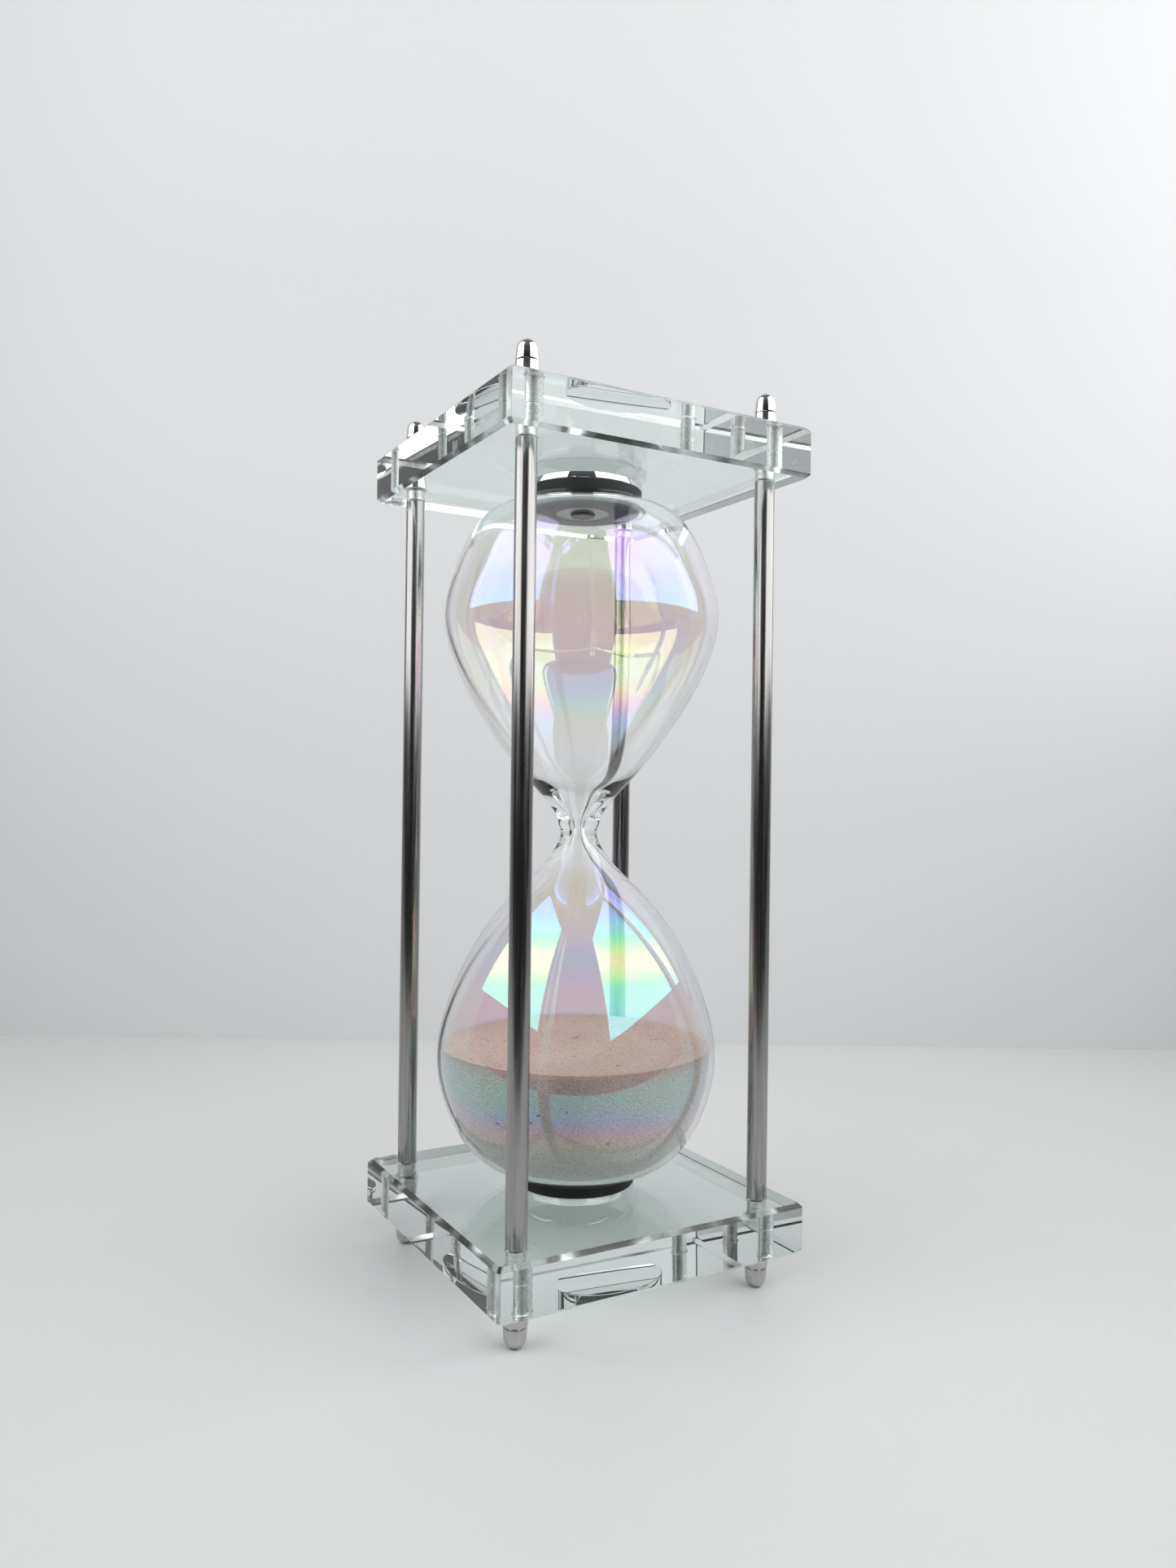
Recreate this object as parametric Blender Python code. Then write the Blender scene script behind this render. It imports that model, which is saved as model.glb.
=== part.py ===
"""Hourglass: a blown glass bulb with fine sand between two clear square plates.

Four steel rods stand between the plates. A threaded stud runs out of each rod end, through a bore
in the plate and into a domed cap nut. The upper nuts are the finials and the lower nuts the feet.

Frame: metres, +Z up, origin on the table under the centre, plate sides along X and Y.
"""
import math

import bmesh
import bpy
import numpy as np
from mathutils import Vector

# ---- driving dimensions ------------------------------------------------------------------------
FIT_GAP = 0.0003            # clearance between pieces that touch

PLATE_SIDE = 0.100
PLATE_THICK = 0.015
PLATE_EDGE_CHAMFER = 0.0012
PLATE_CORNER_CHAMFER = 0.0008
PLATE_SPACING = 0.215       # inner face to inner face

ROD_PITCH = 0.080           # centre to centre along a side
ROD_DIAMETER = 0.006
ROD_EDGE_CHAMFER = 0.0003
TAPPED_DEPTH = 0.009

STUD_DIAMETER = 0.004
STUD_CHAMFER = 0.0003
TAPPED_DIAMETER = STUD_DIAMETER + 2 * FIT_GAP
PLATE_BORE_DIAMETER = 0.0054
PLATE_BORE_CHAMFER = 0.0004

NUT_HEIGHT = 0.011
NUT_BASE_HEIGHT = 0.0047    # from the plate to the groove
NUT_BASE_RADIUS = 0.0039
NUT_FLARE = 0.0003          # how much the base spreads in its lowest third
NUT_FLARE_SHARE = 0.35
NUT_GROOVE_RADIUS = 0.0031
NUT_GROOVE_HALF = 0.0003
NUT_DOME_RADIUS = 0.0033
NUT_DOME_SHOULDER_RADIUS = 0.0029
NUT_DOME_WALL = 0.0030      # nearly straight part of the dome
NUT_TIP_FLAT_RADIUS = 0.0010
NUT_BORE_DEPTH = 0.0065

RECESS_DIAMETER = 0.0344
RECESS_DEPTH = 0.0075

PAD_RADIUS_AT_PLATE = 0.0184
PAD_RADIUS_AT_BULB = 0.0179

BEAD_HEIGHT = 0.0036
BEAD_RADIUS = 0.0202
BEAD_TOP_WIDTH = 0.0005
BEAD_BULGE_SHARE = 0.4      # height of the bulge as a share of the bead's height
BEAD_BULGE_INSET = 0.0003

GLASS_WALL = 0.0015
GLASS_END_THICK = 0.0024
NECK_EXTRA_WALL = 0.0032    # more glass round the neck than elsewhere
NECK_THICKEST = 0.005       # height above the mid-plane where the wall is thickest
NECK_REACH_UP = 0.0075
NECK_REACH_DOWN = 0.012
FILL_HOLE_DIAMETER = 0.008
DIMPLE_DIAMETER = 0.0166    # shallow seat round the fill hole
DIMPLE_DEPTH = 0.0010

SAND_TOP = 0.069
SAND_CROWN = 0.0015
SAND_STEP_DOWN = 0.001      # first point of the side lies at least this far below the level
SAND_SHOULDER_SHARE = 0.6   # height left of the crown half way out

ROUND_STEPS = 32
PLUG_STEPS = 24
SMALL_STEPS = 16
STUD_STEPS = 12
DOME_STEPS = 5
OUTLINE_STEPS = 2           # from one point of the bulb's outline to the next
CUTTER_OVER = 0.001         # how far a cutter stands out of the face that it cuts
SMOOTH_ANGLE = math.radians(35)

# Outer outline of the bulb: radius and height from the mid-plane, top to bottom.
BULB_OUTLINE = (
    (0.0168, 0.1020), (0.0270, 0.1004), (0.0332, 0.0950), (0.0392, 0.0825),
    (0.0425, 0.0685), (0.0381, 0.0506), (0.0257, 0.0294), (0.0145, 0.0154),
    (0.0070, 0.0060), (0.0057, 0.0028), (0.0056, 0.0004), (0.0070, -0.0034),
    (0.0185, -0.0163),
    (0.0300, -0.0304), (0.0400, -0.0515), (0.0430, -0.0670), (0.0398, -0.0840),
    (0.0334, -0.0953), (0.0270, -0.1004), (0.0168, -0.1020),
)

# ---- positions worked out from them ------------------------------------------------------------
MID_Z = NUT_HEIGHT + PLATE_THICK + PLATE_SPACING / 2
INNER_FACE = PLATE_SPACING / 2
OUTER_FACE = INNER_FACE + PLATE_THICK
CORNERS = {
    "front": (-1, -1),
    "right": (1, -1),
    "back": (1, 1),
    "left": (-1, 1),
}


# ---- helpers -----------------------------------------------------------------------------------
def clear_scene():
    for thing in list(bpy.data.objects):
        bpy.data.objects.remove(thing, do_unlink=True)


def material(name, colour, roughness, metallic=0.0, transmission=0.0):
    finish = bpy.data.materials.new(name)
    finish.use_nodes = True
    shader = finish.node_tree.nodes["Principled BSDF"]
    shader.inputs["Base Color"].default_value = (*colour, 1.0)
    shader.inputs["Roughness"].default_value = roughness
    shader.inputs["Metallic"].default_value = metallic
    shader.inputs["Transmission Weight"].default_value = transmission
    return finish


def add_object(name, shape, finish, smooth=True):
    """Turn a bmesh into a named object with smooth round faces and sharp edges."""
    mesh = bpy.data.meshes.new(name)
    shape.to_mesh(mesh)
    shape.free()
    if smooth:
        mesh.shade_smooth()
        mesh.set_sharp_from_angle(angle=SMOOTH_ANGLE)
    mesh.materials.append(finish)
    thing = bpy.data.objects.new(name, mesh)
    bpy.context.collection.objects.link(thing)
    return thing


def turned(profile, steps, closed=False):
    """Spin a profile of (radius, height) points about Z into one closed body."""
    shape = bmesh.new()
    points = [shape.verts.new((radius, 0.0, height)) for radius, height in profile]
    pairs = list(zip(points, points[1:]))
    if closed:
        pairs.append((points[-1], points[0]))
    edges = [shape.edges.new(pair) for pair in pairs]
    bmesh.ops.spin(shape, geom=points + edges, cent=(0, 0, 0), axis=(0, 0, 1),
                   angle=2 * math.pi, steps=steps, use_merge=True)
    bmesh.ops.remove_doubles(shape, verts=shape.verts, dist=1e-6)
    bmesh.ops.recalc_face_normals(shape, faces=shape.faces)
    return shape


def smooth_through(points, per_span):
    """Catmull-Rom curve through the points, per_span steps from each point to the next."""
    knots = np.array(points)
    first = 2 * knots[0] - knots[1]
    last = 2 * knots[-1] - knots[-2]
    padded = np.vstack([first, knots, last])
    curve = []
    for a, b, c, d in zip(padded, padded[1:], padded[2:], padded[3:]):
        for step in range(per_span):
            t = step / per_span
            curve.append(0.5 * (2 * b + (c - a) * t + (2 * a - 5 * b + 4 * c - d) * t ** 2
                                + (3 * b - a - 3 * c + d) * t ** 3))
    curve.append(knots[-1])
    return np.array(curve)


def arc(centre_height, radius, height, steps, stop=0.0):
    """Quarter ellipse from its base at the full radius up to the radius stop."""
    end = math.acos(stop / radius)
    angles = np.linspace(0.0, end, steps + 1)
    rise = height / math.sin(end)
    return [(radius * math.cos(a), centre_height + rise * math.sin(a)) for a in angles]


def place(thing, x, y, z, flipped=False):
    thing.location = Vector((x, y, z))
    if flipped:
        thing.rotation_euler = (math.pi, 0.0, 0.0)


# ---- glass bulb, plug and sand -----------------------------------------------------------------
def bulb_outer():
    return smooth_through(BULB_OUTLINE, OUTLINE_STEPS)


def bulb_inner(outer):
    """Outer outline moved inwards along its normals by the wall, thicker round the neck."""
    run = np.gradient(outer, axis=0)
    length = np.hypot(run[:, 0], run[:, 1])
    inward = np.column_stack([run[:, 1], -run[:, 0]]) / length[:, None]
    above = outer[:, 1] - NECK_THICKEST
    reach = np.where(above > 0, NECK_REACH_UP, NECK_REACH_DOWN)
    wall = GLASS_WALL + NECK_EXTRA_WALL * np.exp(-(above / reach) ** 2)
    inner = outer + inward * wall[:, None]
    ceiling = BULB_OUTLINE[0][1] - GLASS_END_THICK
    inner[:, 1] = np.clip(inner[:, 1], -ceiling, ceiling)
    keep = np.abs(inner[:, 1]) < ceiling
    keep[0] = True
    keep[-1] = True
    return inner[keep]


def make_bulb(finish):
    outer = bulb_outer()
    inner = bulb_inner(outer)
    end = BULB_OUTLINE[0][1]
    hole = FILL_HOLE_DIAMETER / 2
    dimple = DIMPLE_DIAMETER / 2
    neck_of_hole = [
        (hole, inner[0][1]),
        (hole, end - DIMPLE_DEPTH),
        (dimple, end - DIMPLE_DEPTH),
        (dimple, end),
    ]
    inside = [(0.0, inner[-1][1])] + [tuple(point) for point in inner[::-1]]
    profile = inside + neck_of_hole + [tuple(point) for point in outer] + [(0.0, -end)]
    bulb = add_object("glass_bulb", turned(profile, ROUND_STEPS), finish)
    place(bulb, 0, 0, MID_Z)


def make_fill_plug(finish):
    end = BULB_OUTLINE[0][1]
    shank = FILL_HOLE_DIAMETER / 2 - FIT_GAP
    head = DIMPLE_DIAMETER / 2 - FIT_GAP
    underside = end - DIMPLE_DEPTH + FIT_GAP
    profile = [
        (0.0, end),
        (head, end),
        (head, underside),
        (shank, underside),
        (shank, end - GLASS_END_THICK),
        (0.0, end - GLASS_END_THICK),
    ]
    plug = add_object("fill_plug", turned(profile, PLUG_STEPS), finish)
    place(plug, 0, 0, MID_Z)


def make_sand(finish):
    """Sand lies against the inside of the lower bulb, with a low crown under the neck."""
    inner = bulb_inner(bulb_outer())
    level = SAND_TOP - MID_Z
    below = inner[inner[:, 1] < level - SAND_STEP_DOWN]
    above = inner[inner[:, 1] >= level - SAND_STEP_DOWN][-1]
    part_way = (level - above[1]) / (below[0][1] - above[1])
    shore = above[0] + part_way * (below[0][0] - above[0]) - FIT_GAP
    surface = [
        (0.0, level + SAND_CROWN),
        (shore / 2, level + SAND_CROWN * SAND_SHOULDER_SHARE),
        (shore, level),
    ]
    side = [(radius - FIT_GAP, height) for radius, height in below[:-1]]
    floor = below[-1][1] + FIT_GAP
    foot = (below[-1][0] - FIT_GAP, floor)
    sand = add_object("sand", turned(surface + side + [foot, (0.0, floor)], ROUND_STEPS), finish)
    place(sand, 0, 0, MID_Z)


# ---- plates ------------------------------------------------------------------------------------
def plate_blank():
    """Square slab with chamfered corners, then chamfered top and bottom edges."""
    shape = bmesh.new()
    bmesh.ops.create_cube(shape, size=1.0)
    bmesh.ops.scale(shape, verts=shape.verts, vec=(PLATE_SIDE, PLATE_SIDE, PLATE_THICK))
    upright = [e for e in shape.edges if abs(e.verts[0].co.z - e.verts[1].co.z) > 0.001]
    bmesh.ops.bevel(shape, geom=upright, offset=PLATE_CORNER_CHAMFER, segments=1,
                    affect="EDGES", clamp_overlap=False)
    level = [e for e in shape.edges if abs(e.verts[0].co.z - e.verts[1].co.z) < 0.001]
    bmesh.ops.bevel(shape, geom=level, offset=PLATE_EDGE_CHAMFER, segments=1,
                    affect="EDGES", clamp_overlap=False)
    return shape


def bore_profile():
    """Waisted cutter: straight through the plate, flared at both faces for the chamfers."""
    radius = PLATE_BORE_DIAMETER / 2
    half = PLATE_THICK / 2
    flare = radius + PLATE_BORE_CHAMFER + CUTTER_OVER
    return [
        (0.0, half + CUTTER_OVER),
        (flare, half + CUTTER_OVER),
        (radius, half - PLATE_BORE_CHAMFER),
        (radius, -half + PLATE_BORE_CHAMFER),
        (flare, -half - CUTTER_OVER),
        (0.0, -half - CUTTER_OVER),
    ]


def recess_profile():
    """Blind round recess, open at the lower face of the plate as modelled."""
    half = PLATE_THICK / 2
    return [
        (0.0, RECESS_DEPTH - half),
        (RECESS_DIAMETER / 2, RECESS_DEPTH - half),
        (RECESS_DIAMETER / 2, -half - CUTTER_OVER),
        (0.0, -half - CUTTER_OVER),
    ]


def cut(target, shape, name, x=0.0, y=0.0):
    """Take a hidden cutter away from the target with an exact Boolean."""
    mesh = bpy.data.meshes.new(name)
    shape.to_mesh(mesh)
    shape.free()
    cutter = bpy.data.objects.new(name, mesh)
    bpy.context.collection.objects.link(cutter)
    cutter.location = (x, y, 0.0)
    cutter.parent = target
    cutter.hide_render = True
    cutter.display_type = "WIRE"
    step = target.modifiers.new(name, "BOOLEAN")
    step.operation = "DIFFERENCE"
    step.object = cutter


def make_plate(name, side, finish):
    """side is +1 for the top plate and -1 for the bottom plate, which is turned over."""
    plate = add_object(name, plate_blank(), finish, smooth=False)
    for corner, (sx, sy) in CORNERS.items():
        cut(plate, turned(bore_profile(), SMALL_STEPS), f"{name}_bore_{corner}",
            sx * ROD_PITCH / 2, sy * ROD_PITCH / 2)
    cut(plate, turned(recess_profile(), ROUND_STEPS), f"{name}_recess")
    place(plate, 0, 0, MID_Z + side * (INNER_FACE + PLATE_THICK / 2), flipped=side < 0)


# ---- pads and beads ----------------------------------------------------------------------------
def make_pad(name, side, finish):
    top = INNER_FACE - FIT_GAP
    bottom = BULB_OUTLINE[0][1] + FIT_GAP
    profile = [
        (0.0, top),
        (PAD_RADIUS_AT_PLATE, top),
        (PAD_RADIUS_AT_BULB, bottom),
        (0.0, bottom),
    ]
    pad = add_object(name, turned(profile, ROUND_STEPS), finish)
    place(pad, 0, 0, MID_Z, flipped=side < 0)


def make_bead(name, side, finish):
    """Clear ring in the corner between the pad and the glass, widest where it meets the glass."""
    inner = PAD_RADIUS_AT_PLATE + FIT_GAP
    low = BULB_OUTLINE[0][1] + FIT_GAP
    high = low + BEAD_HEIGHT
    profile = [
        (inner, high),
        (inner + BEAD_TOP_WIDTH, high),
        (BEAD_RADIUS - BEAD_BULGE_INSET, low + BEAD_BULGE_SHARE * BEAD_HEIGHT),
        (BEAD_RADIUS, low),
        (inner, low),
    ]
    bead = add_object(name, turned(profile, ROUND_STEPS, closed=True), finish)
    place(bead, 0, 0, MID_Z, flipped=side < 0)


# ---- rods, studs and cap nuts ------------------------------------------------------------------
def rod_profile():
    """Rod with a tapped blind hole in each end and a fine chamfer round its ends."""
    radius = ROD_DIAMETER / 2
    tap = TAPPED_DIAMETER / 2
    end = INNER_FACE - FIT_GAP
    half = [
        (0.0, end - TAPPED_DEPTH),
        (tap, end - TAPPED_DEPTH),
        (tap, end),
        (radius - ROD_EDGE_CHAMFER, end),
        (radius, end - ROD_EDGE_CHAMFER),
    ]
    return half + [(reach, -height) for reach, height in half[::-1]]


def nut_profile():
    """Cap nut standing on the plate: flared base, groove, domed top with a small flat tip."""
    tap = TAPPED_DIAMETER / 2
    top = NUT_HEIGHT
    neck = NUT_BASE_HEIGHT
    shoulder = neck + NUT_DOME_WALL
    dome = arc(shoulder, NUT_DOME_SHOULDER_RADIUS, top - shoulder, DOME_STEPS,
               NUT_TIP_FLAT_RADIUS)
    return [(0.0, top)] + dome[::-1] + [
        (NUT_DOME_RADIUS, neck + NUT_GROOVE_HALF),
        (NUT_GROOVE_RADIUS, neck),
        (NUT_DOME_RADIUS, neck - NUT_GROOVE_HALF),
        (NUT_BASE_RADIUS - NUT_FLARE, neck * NUT_FLARE_SHARE),
        (NUT_BASE_RADIUS, FIT_GAP),
        (tap, FIT_GAP),
        (tap, NUT_BORE_DEPTH),
        (0.0, NUT_BORE_DEPTH),
    ]


def stud_profile():
    radius = STUD_DIAMETER / 2
    low = INNER_FACE - TAPPED_DEPTH
    high = OUTER_FACE + NUT_BORE_DEPTH - FIT_GAP
    return [
        (0.0, high),
        (radius - STUD_CHAMFER, high),
        (radius, high - STUD_CHAMFER),
        (radius, low + STUD_CHAMFER),
        (radius - STUD_CHAMFER, low),
        (0.0, low),
    ]


def make_corner(corner, steel, polished, satin, zinc):
    """One rod with its two studs, its finial and its foot."""
    sx, sy = CORNERS[corner]
    x = sx * ROD_PITCH / 2
    y = sy * ROD_PITCH / 2
    rod = add_object(f"rod_{corner}", turned(rod_profile(), SMALL_STEPS), steel)
    place(rod, x, y, MID_Z)
    upper_stud = add_object(f"upper_stud_{corner}", turned(stud_profile(), STUD_STEPS), zinc)
    place(upper_stud, x, y, MID_Z)
    lower_stud = add_object(f"lower_stud_{corner}", turned(stud_profile(), STUD_STEPS), zinc)
    place(lower_stud, x, y, MID_Z, flipped=True)
    finial = add_object(f"finial_{corner}", turned(nut_profile(), SMALL_STEPS), polished)
    place(finial, x, y, MID_Z + OUTER_FACE)
    foot = add_object(f"foot_{corner}", turned(nut_profile(), SMALL_STEPS), satin)
    place(foot, x, y, MID_Z - OUTER_FACE, flipped=True)


def main():
    clear_scene()
    crystal = material("plate_crystal", (0.90, 0.96, 0.94), 0.02, transmission=1.0)
    blown = material("bulb_glass", (0.93, 0.95, 0.97), 0.02, transmission=1.0)
    silicone = material("clear_silicone", (0.90, 0.92, 0.92), 0.15, transmission=0.9)
    rubber = material("black_rubber", (0.012, 0.012, 0.013), 0.55)
    white_sand = material("white_sand", (0.80, 0.78, 0.75), 0.80)
    steel = material("brushed_steel", (0.48, 0.47, 0.46), 0.30, metallic=1.0)
    polished = material("polished_chrome", (0.75, 0.75, 0.76), 0.06, metallic=1.0)
    satin = material("satin_steel", (0.55, 0.54, 0.52), 0.28, metallic=1.0)
    zinc = material("stud_zinc", (0.45, 0.45, 0.44), 0.40, metallic=1.0)

    make_plate("top_plate", 1, crystal)
    make_plate("bottom_plate", -1, crystal)
    make_bulb(blown)
    make_fill_plug(silicone)
    make_sand(white_sand)
    for name, side in (("upper", 1), ("lower", -1)):
        make_pad(f"{name}_pad", side, rubber)
        make_bead(f"{name}_bead", side, silicone)
    for corner in CORNERS:
        make_corner(corner, steel, polished, satin, zinc)


main()
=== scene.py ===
# %% [markdown]
# A table hourglass in blown glass, crystal and steel
#
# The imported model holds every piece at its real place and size. This script puts fine surfaces and
# finishes over it. Each piece is a surface worked out with numpy: a profile turned about an upright
# line, or a point that depends on two numbers, and no piece is moved from where the model has it.
# Lengths are in metres, +Z is up, and the feet stand on z = 0.

# %% Load the fixed model
import math

import bmesh
import bpy
import numpy as np
from mathutils import Matrix, Vector


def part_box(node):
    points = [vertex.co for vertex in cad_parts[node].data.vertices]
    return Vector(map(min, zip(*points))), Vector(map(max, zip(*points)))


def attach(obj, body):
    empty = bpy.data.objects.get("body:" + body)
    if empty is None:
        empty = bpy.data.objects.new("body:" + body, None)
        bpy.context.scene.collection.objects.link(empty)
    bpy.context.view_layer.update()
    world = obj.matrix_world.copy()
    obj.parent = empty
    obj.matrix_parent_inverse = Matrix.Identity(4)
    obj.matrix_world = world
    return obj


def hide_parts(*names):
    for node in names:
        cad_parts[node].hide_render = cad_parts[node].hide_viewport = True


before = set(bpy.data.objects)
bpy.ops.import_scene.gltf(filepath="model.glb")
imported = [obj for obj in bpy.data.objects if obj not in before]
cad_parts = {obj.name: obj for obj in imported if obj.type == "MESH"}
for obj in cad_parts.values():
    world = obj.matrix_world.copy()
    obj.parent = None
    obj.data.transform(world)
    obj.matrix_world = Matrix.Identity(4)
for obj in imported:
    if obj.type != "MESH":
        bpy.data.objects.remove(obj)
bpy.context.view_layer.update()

print("nodes in the model:", len(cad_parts))

# %% [markdown]
# The camera
#
# It stands a little under 36 cm from the middle of the hourglass, slightly below mid-height, and
# looks at the corner between two sides. A phone lens this near gives strong perspective, so the
# place of the camera matters more than its angle. The camera is also held very slightly askew.

# %% Camera
SENSOR_HEIGHT = 36.0
LENS = 26.29
CAMERA_PLACE = Vector((-0.1759, -0.3119, 0.1474))
CAMERA_AZIMUTH = math.radians(29.856)
CAMERA_ELEVATION = math.radians(0.326)
CAMERA_ROLL = math.radians(0.712)


def add_camera():
    """The camera's axes are the unrolled ones turned by the roll about the line of sight."""
    flat = math.cos(CAMERA_ELEVATION)
    forward = Vector((math.sin(CAMERA_AZIMUTH) * flat, math.cos(CAMERA_AZIMUTH) * flat,
                      math.sin(CAMERA_ELEVATION)))
    level = Vector((math.cos(CAMERA_AZIMUTH), -math.sin(CAMERA_AZIMUTH), 0.0))
    upright = level.cross(forward)
    right = level * math.cos(CAMERA_ROLL) + upright * math.sin(CAMERA_ROLL)
    up = upright * math.cos(CAMERA_ROLL) - level * math.sin(CAMERA_ROLL)
    data = bpy.data.cameras.new("camera")
    data.sensor_fit = "VERTICAL"
    data.sensor_height = SENSOR_HEIGHT
    data.lens = LENS
    data.clip_start = 0.01
    camera = bpy.data.objects.new("camera", data)
    camera.matrix_world = Matrix((
        (right.x, up.x, -forward.x, CAMERA_PLACE.x),
        (right.y, up.y, -forward.y, CAMERA_PLACE.y),
        (right.z, up.z, -forward.z, CAMERA_PLACE.z),
        (0.0, 0.0, 0.0, 1.0),
    ))
    bpy.context.scene.collection.objects.link(camera)
    bpy.context.scene.camera = camera


add_camera()
bpy.context.scene.view_settings.view_transform = "Standard"
print("camera at", tuple(round(v, 3) for v in CAMERA_PLACE))

# %% [markdown]
# Node helpers
#
# A finish is a small net of shader nodes. One helper adds a node and sets its sockets, another joins
# two nodes, and a third starts a material with one Principled shader, so that each finish below
# reads as a list of what makes it.

# %% Helpers for finishes
class Net:
    """A material's node tree with short calls for adding and joining nodes."""

    def __init__(self, name):
        self.material = bpy.data.materials.new(name)
        self.material.use_nodes = True
        self.tree = self.material.node_tree
        self.shader = self.tree.nodes["Principled BSDF"]
        self.output = self.tree.nodes["Material Output"]

    def add(self, kind, values=None, **settings):
        node = self.tree.nodes.new(kind)
        for key, value in settings.items():
            setattr(node, key, value)
        for key, value in (values or {}).items():
            node.inputs[key].default_value = value
        return node

    def join(self, source, outlet, target, inlet):
        self.tree.links.new(source.outputs[outlet], target.inputs[inlet])

    def set(self, **values):
        for key, value in values.items():
            self.shader.inputs[key.replace("_", " ")].default_value = value

    def place(self, scale=(1, 1, 1)):
        """Object coordinates, stretched."""
        coordinates = self.add("ShaderNodeTexCoord")
        mapping = self.add("ShaderNodeMapping", {"Scale": scale})
        self.join(coordinates, "Object", mapping, "Vector")
        return mapping

    def noise(self, where, scale, detail=3.0, rough=0.5):
        node = self.add("ShaderNodeTexNoise", {"Scale": scale, "Detail": detail, "Roughness": rough})
        self.join(where, "Vector", node, "Vector")
        return node

    def spread(self, source, outlet, low, high, new_low, new_high):
        """Carry low..high of a value over to new_low..new_high, and hold it at the ends."""
        node = self.add("ShaderNodeMapRange", {"From Min": low, "From Max": high,
                                               "To Min": new_low, "To Max": new_high})
        self.join(source, outlet, node, "Value")
        return node

    def ramp(self, source, outlet, stops):
        node = self.add("ShaderNodeValToRGB")
        band = node.color_ramp
        while len(band.elements) < len(stops):
            band.elements.new(0.5)
        for element, (position, colour) in zip(band.elements, stops):
            element.position = position
            element.color = (*colour, 1.0)
        self.join(source, outlet, node, "Fac")
        return node

    def tint(self, pattern, dark, light):
        """Base colour between two shades. Each is the pattern's value and the colour there."""
        shade = self.ramp(pattern, "Fac", [dark, light])
        self.join(shade, "Color", self.shader, "Base Color")

    def roughen(self, pattern, low, high, smooth, rough):
        """Roughness from smooth to rough where the pattern goes from low to high."""
        amount = self.spread(pattern, "Fac", low, high, smooth, rough)
        self.join(amount, "Result", self.shader, "Roughness")

    def bump(self, source, outlet, strength, distance):
        node = self.add("ShaderNodeBump", {"Strength": strength, "Distance": distance})
        self.join(source, outlet, node, "Height")
        self.join(node, "Normal", self.shader, "Normal")
        return node

    def clear_shadow(self, tint=(1.0, 1.0, 1.0), surface=None):
        """Let light on its way to a shadow pass straight through, so glass casts a pale shadow."""
        surface = surface or self.shader.outputs["BSDF"]
        path = self.add("ShaderNodeLightPath")
        through = self.add("ShaderNodeBsdfTransparent", {"Color": (*tint, 1.0)})
        mix = self.add("ShaderNodeMixShader")
        self.join(path, "Is Shadow Ray", mix, "Fac")
        self.tree.links.new(surface, mix.inputs[1])
        self.tree.links.new(through.outputs["BSDF"], mix.inputs[2])
        self.tree.links.new(mix.outputs["Shader"], self.output.inputs["Surface"])


# %% [markdown]
# The stage: a white table against a pale wall
#
# The table's far edge meets the wall about 31 cm behind the hourglass. The wall shows from the front
# only, so that a view from behind isn't blocked. Two tall soft lights stand left and right of the
# camera, with a dark gap between them: glass and chrome are seen by what they mirror, and this pair
# gives the white-dark-white stripes on the rods and the two bright windows on the bulb.

# %% Table and wall
WALL_DISTANCE = 0.312
STAGE_REACH = 3.0
TABLE_FRONT = 0.200         # from the middle of the hourglass to the table's near edge
TABLE_COLOUR = (0.635, 0.635, 0.635)
TABLE_CLOUD = 0.97          # brightness of the table's darker clouds
WALL_COLOUR = (0.615, 0.615, 0.620)
# Painted light falloff: the wall is painted darker higher up, where less light reaches it.
WALL_PAINTED_FALLOFF = ((0.05, 1.03), (0.45, 0.86))      # height, and how bright the wall is there


def stage_sheet(name, corners, net):
    mesh = bpy.data.meshes.new(name)
    mesh.from_pydata(corners, [], [(0, 1, 2, 3)])
    mesh.materials.append(net.material)
    sheet = bpy.data.objects.new(name, mesh)
    bpy.context.scene.collection.objects.link(sheet)
    return sheet


def stage_finishes():
    table = Net("table_white")
    table.set(Roughness=0.42)
    cloud = table.noise(table.place(), 3.0)
    table.tint(cloud, (0.3, tuple(TABLE_CLOUD * c for c in TABLE_COLOUR)), (0.7, TABLE_COLOUR))
    wall = Net("wall_pale")
    wall.set(Roughness=0.9)
    parts = wall.add("ShaderNodeSeparateXYZ")
    wall.join(wall.add("ShaderNodeTexCoord"), "Object", parts, "Vector")
    # Painted light falloff on the wall, darker with height.
    shade = wall.ramp(parts, "Z", [(height, tuple(bright * c for c in WALL_COLOUR))
                                   for height, bright in WALL_PAINTED_FALLOFF])
    wall.join(shade, "Color", wall.shader, "Base Color")
    facing = wall.add("ShaderNodeNewGeometry")
    clear = wall.add("ShaderNodeBsdfTransparent")
    mix = wall.add("ShaderNodeMixShader")
    wall.join(facing, "Backfacing", mix, "Fac")
    wall.tree.links.new(wall.shader.outputs["BSDF"], mix.inputs[1])
    wall.tree.links.new(clear.outputs["BSDF"], mix.inputs[2])
    wall.tree.links.new(mix.outputs["Shader"], wall.output.inputs["Surface"])
    return table, wall


def add_stage():
    table, wall = stage_finishes()
    ahead = Vector((math.sin(CAMERA_AZIMUTH), math.cos(CAMERA_AZIMUTH), 0.0))
    aside = Vector((ahead.y, -ahead.x, 0.0))
    up = Vector((0, 0, STAGE_REACH))
    foot_left = ahead * WALL_DISTANCE - aside * STAGE_REACH
    foot_right = ahead * WALL_DISTANCE + aside * STAGE_REACH
    stage_sheet("wall", [foot_left, foot_right, foot_right + up, foot_left + up], wall)
    near_left = -ahead * TABLE_FRONT - aside * STAGE_REACH
    near_right = -ahead * TABLE_FRONT + aside * STAGE_REACH
    far = ahead * (TABLE_FRONT + STAGE_REACH)
    stage_sheet("table", [near_left, near_right, near_right + far, near_left + far], table)


add_stage()

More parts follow.
